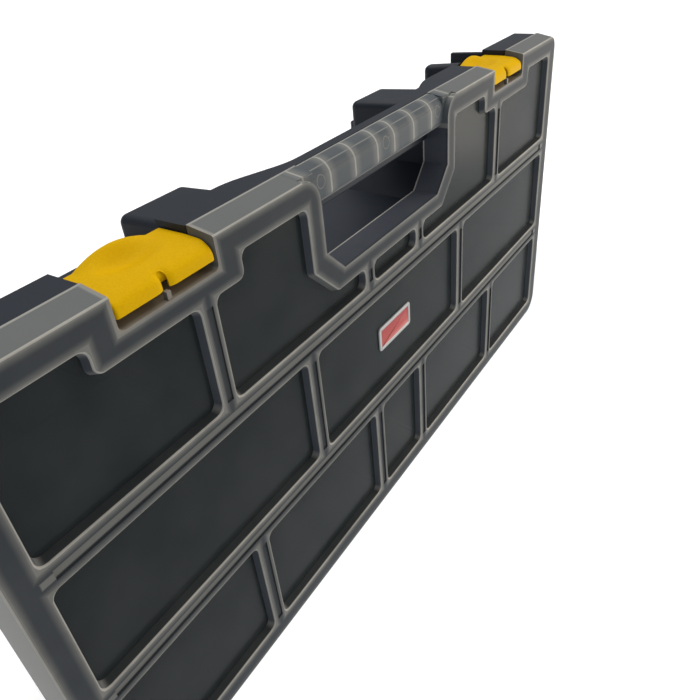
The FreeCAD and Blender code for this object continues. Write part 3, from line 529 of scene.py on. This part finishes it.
# Painted highlights on rounds, along rims, round the notches and at the sleeve's end
def bright_edges(tree, at, width, haze):
    """Rounds, and walls seen end on, gather light."""
    off_bar = all_but(tree, at.bar)
    inward = all_of(tree, outside_box(tree, at.across, at.z, FACE_HALF, FACE_Z), -1.0)
    near = lowest(tree, at.panels, at.mouth, at.notch, inward)
    rims = highest(tree, line(tree, near, RIM_LINE, width), line(tree, near, RIM_HALO, width))
    by_notch = all_of(tree, highest(tree, at.face, at.upward), line(tree, at.notch, NOTCH_LINE, width))
    rims = all_of(tree, highest(tree, all_of(tree, at.face, rims), by_notch), off_bar, RIM_STRENGTH)
    rounds = all_of(tree, ramp_between(tree, at.level, *ROUND_START),
                    ramp_between(tree, at.level, *ROUND_END, 1.0, 0.0), off_bar)
    sleeve_end = all_of(tree, at.sleeve,
                        ramp_between(tree, at.y, *(SLEEVE_END - fade for fade in SLEEVE_FADE)))
    edges = highest(tree, rims, rounds, sleeve_end)
    return all_of(tree, edges, ramp_between(tree, haze, *EDGE_HAZE))


def frosted_plastic_and_painted_light(lid):
    """Frosted see-through plastic: hazy frame and ribs, thinner film in the sunk panels, painted highlights along
    edges and lines, and painted light and shade on the lid's parts.
    """
    material, tree, shader = blank_material("frosted_plastic_and_painted_light")
    at = LidPlace(tree, lid.panel_depth)
    haze = noise(tree, at.coords, 0.02, 4.0, 0.6)
    # Painted highlights along edges, ribs, the rim's back edge and the grip bar
    edges = highest(tree, bright_edges(tree, at, lid.edge_width, haze), painted_highlight_lines(tree, at))
    cloudy = blend_colours(tree, all_of(tree, haze, CLOUD_SHARE), lid_colour_and_painted_light(tree, at, lid), CLOUD)
    plug(tree, shader, "Base Color", blend_colours(tree, edges, cloudy, lid.edge))
    alpha = ramp_between(tree, at.film, 0.0, 1.0, lid.frost_alpha, lid.film_alpha)
    thicker = all_of(tree, maths(tree, "ADD", at.upward, at.sleeve), 1.0 - lid.frost_alpha)
    alpha = highest(tree, maths(tree, "ADD", alpha, thicker), all_of(tree, edges, EDGE_ALPHA))
    plug(tree, shader, "Alpha", alpha)
    gloss = ramp_between(tree, at.film, 0.0, 1.0, 0.4, 0.2)
    plug(tree, shader, "Roughness", maths(tree, "ADD", gloss, all_of(tree, haze, 0.08)))
    plug(tree, shader, "Specular IOR Level", 0.07)
    plug(tree, shader, "Sheen Weight", 0.06)
    plug(tree, shader, "Sheen Roughness", 0.3)
    return material


# The other finishes

def moulded_plastic(tray):
    """Dark moulded plastic with a fine grain."""
    material, tree, shader = blank_material("moulded_plastic")
    coords, _ = object_place(tree)
    grain = noise(tree, coords, tray.grain, 3.0, 0.6)
    broad = noise(tree, coords, 0.05, 3.0)
    plug(tree, shader, "Base Color", blend_colours(tree, all_of(tree, broad, 0.3), tray.body, tray.bloom))
    plug(tree, shader, "Roughness", ramp_between(tree, broad, 0.2, 0.8, 0.44, 0.56))
    plug(tree, shader, "Normal", bump(tree, grain, 0.12, 0.08 * MM))
    plug(tree, shader, "Specular IOR Level", 0.17)
    return material


def yellow_plastic_and_grain_shade(latch):
    """Yellow moulded plastic with a matte grain and painted shade in the grain's hollows."""
    material, tree, shader = blank_material("yellow_plastic_and_grain_shade")
    coords, _ = object_place(tree)
    grain = noise(tree, coords, 0.6 * MM, 3.0, 0.65)
    broad = noise(tree, coords, 12.0 * MM)
    # Painted shade: the grain's hollows are darker
    hollows = ramp_between(tree, grain, 0.35, 0.6, 0.5, 0.0)
    plug(tree, shader, "Base Color", blend_colours(tree, hollows, latch.plastic, latch.shade))
    plug(tree, shader, "Roughness", ramp_between(tree, broad, 0.2, 0.8, 0.46, 0.56))
    plug(tree, shader, "Normal", bump(tree, grain, 0.18, 0.1 * MM))
    plug(tree, shader, "Specular IOR Level", 0.03)
    return material


def drawn_steel():
    """Drawn steel wire with fine lines round it."""
    material, tree, shader = blank_material("drawn_steel")
    _, (x, _, _) = object_place(tree)
    rings = add_node(tree, "ShaderNodeTexNoise", {"noise_dimensions": "1D"}, W=x, Scale=3000.0, Detail=3.0)
    fine = rings.outputs["Fac"]
    plug(tree, shader, "Base Color", blend_colours(tree, fine, (0.48, 0.48, 0.47), (0.66, 0.66, 0.65)))
    plug(tree, shader, "Roughness", ramp_between(tree, fine, 0.2, 0.8, 0.25, 0.42))
    plug(tree, shader, "Metallic", 1.0)
    return material


def plate_enamel():
    """Blank plate: bright rim, plain red field."""
    material, tree, shader = blank_material("plate_enamel")
    coords, (x, _, z) = object_place(tree)
    middle = (BADGE_LOW + BADGE_HIGH) / 2
    half = (BADGE_HIGH - BADGE_LOW) / 2
    sides = ((distance(tree, x, middle.x), half.x), (distance(tree, z, middle.z), half.z))
    field = all_of(tree, *(ramp_between(tree, away, *(reach - rim for rim in BADGE_FIELD), 1.0, 0.0)
                           for away, reach in sides))
    fleck = noise(tree, coords, 0.8 * MM)
    red = blend_colours(tree, fleck, (0.36, 0.018, 0.012), (0.44, 0.026, 0.018))
    plug(tree, shader, "Base Color", blend_colours(tree, field, (0.42, 0.42, 0.42), red))
    plug(tree, shader, "Roughness", ramp_between(tree, field, 0.0, 1.0, 0.28, 0.36))
    return material


# Pieces

def dress(node, material):
    """Gives a CAD node a finish in place of its plain one."""
    mesh = NODES[node].data
    mesh.materials.clear()
    mesh.materials.append(material)


def make_piece(name, bm, body, material):
    """Closes a bmesh into a piece that rides on a body."""
    mesh = bpy.data.meshes.new(name)
    bm.to_mesh(mesh)
    bm.free()
    mesh.materials.append(material)
    mesh.shade_smooth()
    piece = bpy.data.objects.new(name, mesh)
    bpy.context.scene.collection.objects.link(piece)
    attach(piece, body)
    return piece


def bevel(bm, geom, offset, segments, affect="EDGES"):
    bmesh.ops.bevel(bm, geom=geom, offset=offset, segments=segments, profile=0.5, affect=affect, material=-1)


def everything(bm):
    return bm.verts[:] + bm.edges[:] + bm.faces[:]


def clamp(value, low=0.0, high=1.0):
    return min(max(value, low), high)


def rise_to(value, low, high):
    """Smoothly from none at low to all at high."""
    part = clamp((value - low) / (high - low))
    return part * part * (3 - 2 * part)


def quarter_round(radius, reach):
    """How far a round of some radius drops at a reach from its start."""
    return radius - math.sqrt(radius * radius - reach * reach)


def latch_skin(latch, low, high, top):
    """The latch's outer skin: a rounded section drawn across, then pressed into its hollow and thumb rest."""
    bm = bmesh.new()
    front, back = low.y, high.y
    section = ((front, top - latch.lip_drop), (front, top), (back, top), (back, top - latch.tail_drop))
    points = [bm.verts.new((low.x, y, z)) for y, z in section]
    for pair in zip(points, points[1:]):
        bm.edges.new(pair)
    bevel(bm, [points[1]], latch.front_round, FRONT_STEPS, "VERTICES")
    bevel(bm, [points[2]], latch.back_round, BACK_STEPS, "VERTICES")
    top_edges = [e for e in bm.edges
                 if e.calc_length() > 3 * MM and abs(e.verts[0].co.z - e.verts[1].co.z) < MM]
    bmesh.ops.subdivide_edges(bm, edges=top_edges, cuts=CUTS_BACK)
    drawn = bmesh.ops.extrude_edge_only(bm, edges=bm.edges[:])["geom"]
    far_end = [v for v in drawn if isinstance(v, bmesh.types.BMVert)]
    bmesh.ops.translate(bm, verts=far_end, vec=(high.x - low.x, 0, 0))
    across = [e for e in bm.edges if abs(e.verts[0].co.x - e.verts[1].co.x) > MM]
    bmesh.ops.subdivide_edges(bm, edges=across, cuts=CUTS_ACROSS, use_grid_fill=True)
    slit_x = low.x + (high.x - low.x) * latch.slit_place
    cut_slit(latch, bm, slit_x, front)
    middle = (low.x + high.x) / 2
    for vert in bm.verts:
        press(latch, vert, vert.co.x - middle, vert.co.y - front, (high.x - low.x) / 2, top)
        open_slit(latch, vert, vert.co.x - slit_x, vert.co.y - front)
    bmesh.ops.recalc_face_normals(bm, faces=bm.faces[:])
    if sum(f.normal.z for f in bm.faces) < 0:
        bmesh.ops.reverse_faces(bm, faces=bm.faces[:])
    return bm


def cut_slit(latch, bm, slit_x, front):
    """Cuts the slit out of the lip."""
    half, end = latch.slit / 2, front + latch.slit_reach
    planes = (((slit_x - half, 0, 0), (1, 0, 0)), ((slit_x + half, 0, 0), (1, 0, 0)), ((0, end, 0), (0, 1, 0)))
    for place, turn in planes:
        bmesh.ops.bisect_plane(bm, geom=everything(bm), dist=1e-6, plane_co=place, plane_no=turn)
    in_slit = []
    for face in bm.faces:
        middle = face.calc_center_median()
        if abs(middle.x - slit_x) < half and middle.y < end:
            in_slit.append(face)
    bmesh.ops.delete(bm, geom=in_slit, context="FACES")


def press(latch, vert, aside, depth, half, top):
    """Moves a point of the skin into the thumb rest, the hollow and the rounded front corners."""
    upper = rise_to(vert.co.z, *(top - drop for drop in SKIN_TOP))
    arc = max(0.0, 1.0 - (aside / CREST_HALF) ** 2)
    lean = clamp((depth - CREST_START) / CREST_RUN) ** CREST_BEND
    away = math.hypot(aside / SCOOP_HALF[0], (depth - SCOOP_PLACE) / SCOOP_HALF[1])
    hollow = max(0.0, 1.0 - away ** 2) ** 2
    slope = 1.0 - rise_to(depth, *SLOPE_RUN)
    vert.co.z += upper * (latch.crown * arc * lean - latch.scoop * hollow - latch.front_drop * slope)
    past = clamp(abs(aside) - (half - CORNER_TURN), 0.0, CORNER_TURN)
    vert.co.y += quarter_round(CORNER_TURN, past) * (1.0 - rise_to(depth, 0.0, CORNER_RUN))


def open_slit(latch, vert, aside, depth):
    """Rounds the slit's inner end and turns the skin in all round it."""
    half, end, radius = latch.slit / 2, latch.slit_reach, latch.front_round
    if abs(aside) < half + NEAR and end - NEAR <= depth < end + SLIT_FADE:
        bulge = math.sqrt(max(half * half - aside * aside, 0.0)) * (1.0 - (depth - end) / SLIT_FADE)
        before, after = (quarter_round(radius, radius - clamp(d, 0.0, radius)) for d in (depth, depth + bulge))
        vert.co.y += bulge
        vert.co.z += before - after
        depth += bulge
    away = math.hypot(aside, max(depth - end, 0.0)) - half
    turn = latch.slit_turn * max(1.0 - max(away, 0.0) / SLIT_TURN_REACH, 0.0) ** 2
    lean = math.asin(clamp(depth / radius))
    vert.co.y += turn * math.cos(lean)
    vert.co.z -= turn * math.sin(lean)


def latch_barrel(low, high, joint):
    """The barrel that the latch turns on."""
    bm = bmesh.new()
    bmesh.ops.create_cone(bm, cap_ends=True, segments=40, radius1=BARREL_RADIUS, radius2=BARREL_RADIUS,
                          depth=high.x - low.x - 2 * BARREL_INSET)
    bmesh.ops.rotate(bm, verts=bm.verts[:], matrix=Matrix.Rotation(math.pi / 2, 3, "Y"))
    bevel(bm, [e for e in bm.edges if e.calc_face_angle(0) > 1], BARREL_ROUND, 3)
    bmesh.ops.translate(bm, verts=bm.verts[:], vec=Vector(joint["pos_m"]))
    return bm


class CASE_OT_lid(bpy.types.Operator):
    """Give the lid its frosted finish and its painted light and shade"""

    bl_idname = "case.lid"
    bl_label = "Lid"

    def execute(self, context):
        dress("lid_shell", frosted_plastic_and_painted_light(context.scene.case_lid))
        return {"FINISHED"}


class CASE_OT_tray(bpy.types.Operator):
    """Give the tray and its dividers their dark moulded finish"""

    bl_idname = "case.tray"
    bl_label = "Tray and dividers"

    def execute(self, context):
        material = moulded_plastic(context.scene.case_tray)
        for node in ("base_tray", *DIVIDERS):
            dress(node, material)
        return {"FINISHED"}


class CASE_OT_latches(bpy.types.Operator):
    """Make the two latches and their barrels"""

    bl_idname = "case.latches"
    bl_label = "Latches"

    def execute(self, context):
        latch = context.scene.case_latch
        material = yellow_plastic_and_grain_shade(latch)
        joints = {joint["child"]: joint for joint in frame["joints"]}
        for node in LATCHES:
            low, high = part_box(node)
            top = low.z + latch.lip_drop
            skin = make_piece(node + "_skin", latch_skin(latch, low, high, top), node, material)
            self.thicken(skin, latch.wall)
            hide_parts(node)
            make_piece(node + "_barrel", latch_barrel(low, high, joints[node]), node, material)
        return {"FINISHED"}

    def thicken(self, skin, thickness):
        """Gives the skin its wall and softens the wall's edges."""
        wall = skin.modifiers.new("Wall", "SOLIDIFY")
        wall.thickness = thickness
        wall.offset = -1
        edge = skin.modifiers.new("Edge", "BEVEL")
        edge.width = SKIN_BEVEL
        edge.segments = 4
        edge.limit_method = "ANGLE"
        edge.angle_limit = math.radians(50)


class CASE_OT_pins(bpy.types.Operator):
    """Give the hinge and latch pins their steel finish"""

    bl_idname = "case.pins"
    bl_label = "Pins"

    def execute(self, context):
        material = drawn_steel()
        for node in PINS:
            dress(node, material)
        return {"FINISHED"}


class CASE_OT_badge(bpy.types.Operator):
    """Make the blank plate with its raised rim"""

    bl_idname = "case.badge"
    bl_label = "Badge plate"

    def execute(self, context):
        bm = bmesh.new()
        bmesh.ops.create_cube(bm, size=1.0)
        bmesh.ops.scale(bm, verts=bm.verts[:], vec=BADGE_HIGH - BADGE_LOW)
        bmesh.ops.translate(bm, verts=bm.verts[:], vec=(BADGE_HIGH + BADGE_LOW) / 2)
        bevel(bm, [e for e in bm.edges if abs(e.verts[0].co.y - e.verts[1].co.y) > MM / 2], BADGE_CORNER, 6)
        face = min(bm.faces, key=lambda f: f.calc_center_median().y)
        bevel(bm, face.edges[:], BADGE_EDGE, 3)
        face = min(bm.faces, key=lambda f: (round(f.calc_center_median().y, 6), -f.calc_area()))
        bmesh.ops.inset_region(bm, faces=[face], thickness=BADGE_RIM, depth=0)
        bmesh.ops.inset_region(bm, faces=[face], thickness=BADGE_STEP, depth=-BADGE_STEP)
        bmesh.ops.recalc_face_normals(bm, faces=bm.faces[:])
        plate = make_piece("badge_blank", bm, "lid", plate_enamel())
        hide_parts("badge_plate")
        return {"FINISHED"}


class CASE_OT_stage(bpy.types.Operator):
    """Set the floor, the light and the camera"""

    bl_idname = "case.stage"
    bl_label = "Stage"

    def execute(self, context):
        stage = context.scene.case_stage
        self.lay_floor(context.scene, stage)
        self.light_room(context.scene, stage)
        self.hang_lamps(context.scene, stage)
        self.aim(context.scene, stage)
        return {"FINISHED"}

    def lay_floor(self, scene, stage):
        """A pale floor that ends under the case, as a table does, because the open lid hangs past its hinge."""
        bm = bmesh.new()
        bmesh.ops.create_grid(bm, x_segments=1, y_segments=1, size=FLOOR_REACH)
        bmesh.ops.bisect_plane(bm, geom=everything(bm), plane_co=(0, 0, 0), plane_no=(0, -1, 0), clear_outer=True)
        mesh = bpy.data.meshes.new("floor")
        bm.to_mesh(mesh)
        bm.free()
        material, tree, shader = blank_material("pale_floor")
        tone = (*stage.floor, 1.0)
        settings = {"Base Color": tone, "Roughness": 0.9, "Specular IOR Level": 0.1, "Emission Color": tone,
                    "Emission Strength": 0.22}
        for name, value in settings.items():
            plug(tree, shader, name, value)
        mesh.materials.append(material)
        floor = bpy.data.objects.new("floor", mesh)
        scene.collection.objects.link(floor)

    def light_room(self, scene, stage):
        """Soft light from all round, brighter from below, and a plain white ground."""
        scene.world = bpy.data.worlds.new("studio")
        scene.world.use_nodes = True
        tree = scene.world.node_tree
        sky = tree.nodes["Background"]
        plug(tree, sky, "Color", (0.96, 0.98, 1.0, 1.0))
        way = add_node(tree, "ShaderNodeTexCoord").outputs["Generated"]
        upward = add_node(tree, "ShaderNodeSeparateXYZ", Vector=way).outputs[2]
        round_about = ramp_between(tree, upward, -0.05, 0.0, stage.below, stage.sky)
        seen = add_node(tree, "ShaderNodeLightPath").outputs["Is Camera Ray"]
        plug(tree, sky, "Strength", highest(tree, round_about, all_of(tree, seen, stage.ground)))

    def hang_lamps(self, scene, stage):
        sun = bpy.data.lights.new("top", "SUN")
        sun.energy = stage.top
        sun.angle = math.radians(75)
        sun.color = (1.0, 0.99, 0.97)
        key = bpy.data.lights.new("key", "AREA")
        key.energy = stage.key
        key.size = 0.5
        key.color = (1.0, 0.92, 0.8)
        for lamp, place, target in ((sun, SUN_PLACE, SUN_TARGET), (key, KEY_PLACE, KEY_TARGET)):
            holder = bpy.data.objects.new(lamp.name, lamp)
            holder.location = place
            holder.rotation_euler = (target - place).to_track_quat("-Z", "Y").to_euler()
            scene.collection.objects.link(holder)

    def aim(self, scene, stage):
        camera = bpy.data.cameras.new("camera")
        camera.lens = stage.lens
        camera.sensor_width = 36.0
        camera.clip_start = 0.01
        holder = bpy.data.objects.new("camera", camera)
        turn = Matrix((CAMERA_RIGHT, CAMERA_UP, CAMERA_RIGHT.cross(CAMERA_UP))).transposed()
        holder.matrix_world = Matrix.Translation(CAMERA_PLACE) @ turn.to_4x4()
        scene.collection.objects.link(holder)
        scene.camera = holder
        scene.view_settings.view_transform = "Standard"


class CASE_PT_panel(bpy.types.Panel):
    """Lists the case's pieces and their sizes and colours"""

    bl_idname = "CASE_PT_panel"
    bl_label = "Organizer case"
    bl_space_type = "VIEW_3D"
    bl_region_type = "UI"
    bl_category = "Case"

    def draw(self, context):
        for group in GROUPS:
            box = self.layout.box()
            settings = getattr(context.scene, group)
            for name in settings.__annotations__:
                box.prop(settings, name)
        for operator in OPERATORS:
            self.layout.operator(operator.bl_idname)


GROUPS = {"case_lid": CaseLid, "case_tray": CaseTray, "case_latch": CaseLatch, "case_stage": CaseStage}
OPERATORS = (CASE_OT_lid, CASE_OT_tray, CASE_OT_latches, CASE_OT_pins, CASE_OT_badge, CASE_OT_stage)


def register():
    for group, settings in GROUPS.items():
        bpy.utils.register_class(settings)
        setattr(bpy.types.Scene, group, PointerProperty(type=settings))
    for item in (*OPERATORS, CASE_PT_panel):
        bpy.utils.register_class(item)


def unregister():
    for item in (CASE_PT_panel, *reversed(OPERATORS)):
        bpy.utils.unregister_class(item)
    for group, settings in GROUPS.items():
        delattr(bpy.types.Scene, group)
        bpy.utils.unregister_class(settings)


def main():
    register()
    bpy.ops.case.lid()
    bpy.ops.case.tray()
    bpy.ops.case.latches()
    bpy.ops.case.pins()
    bpy.ops.case.badge()
    bpy.ops.case.stage()


if __name__ == "__main__":
    main()
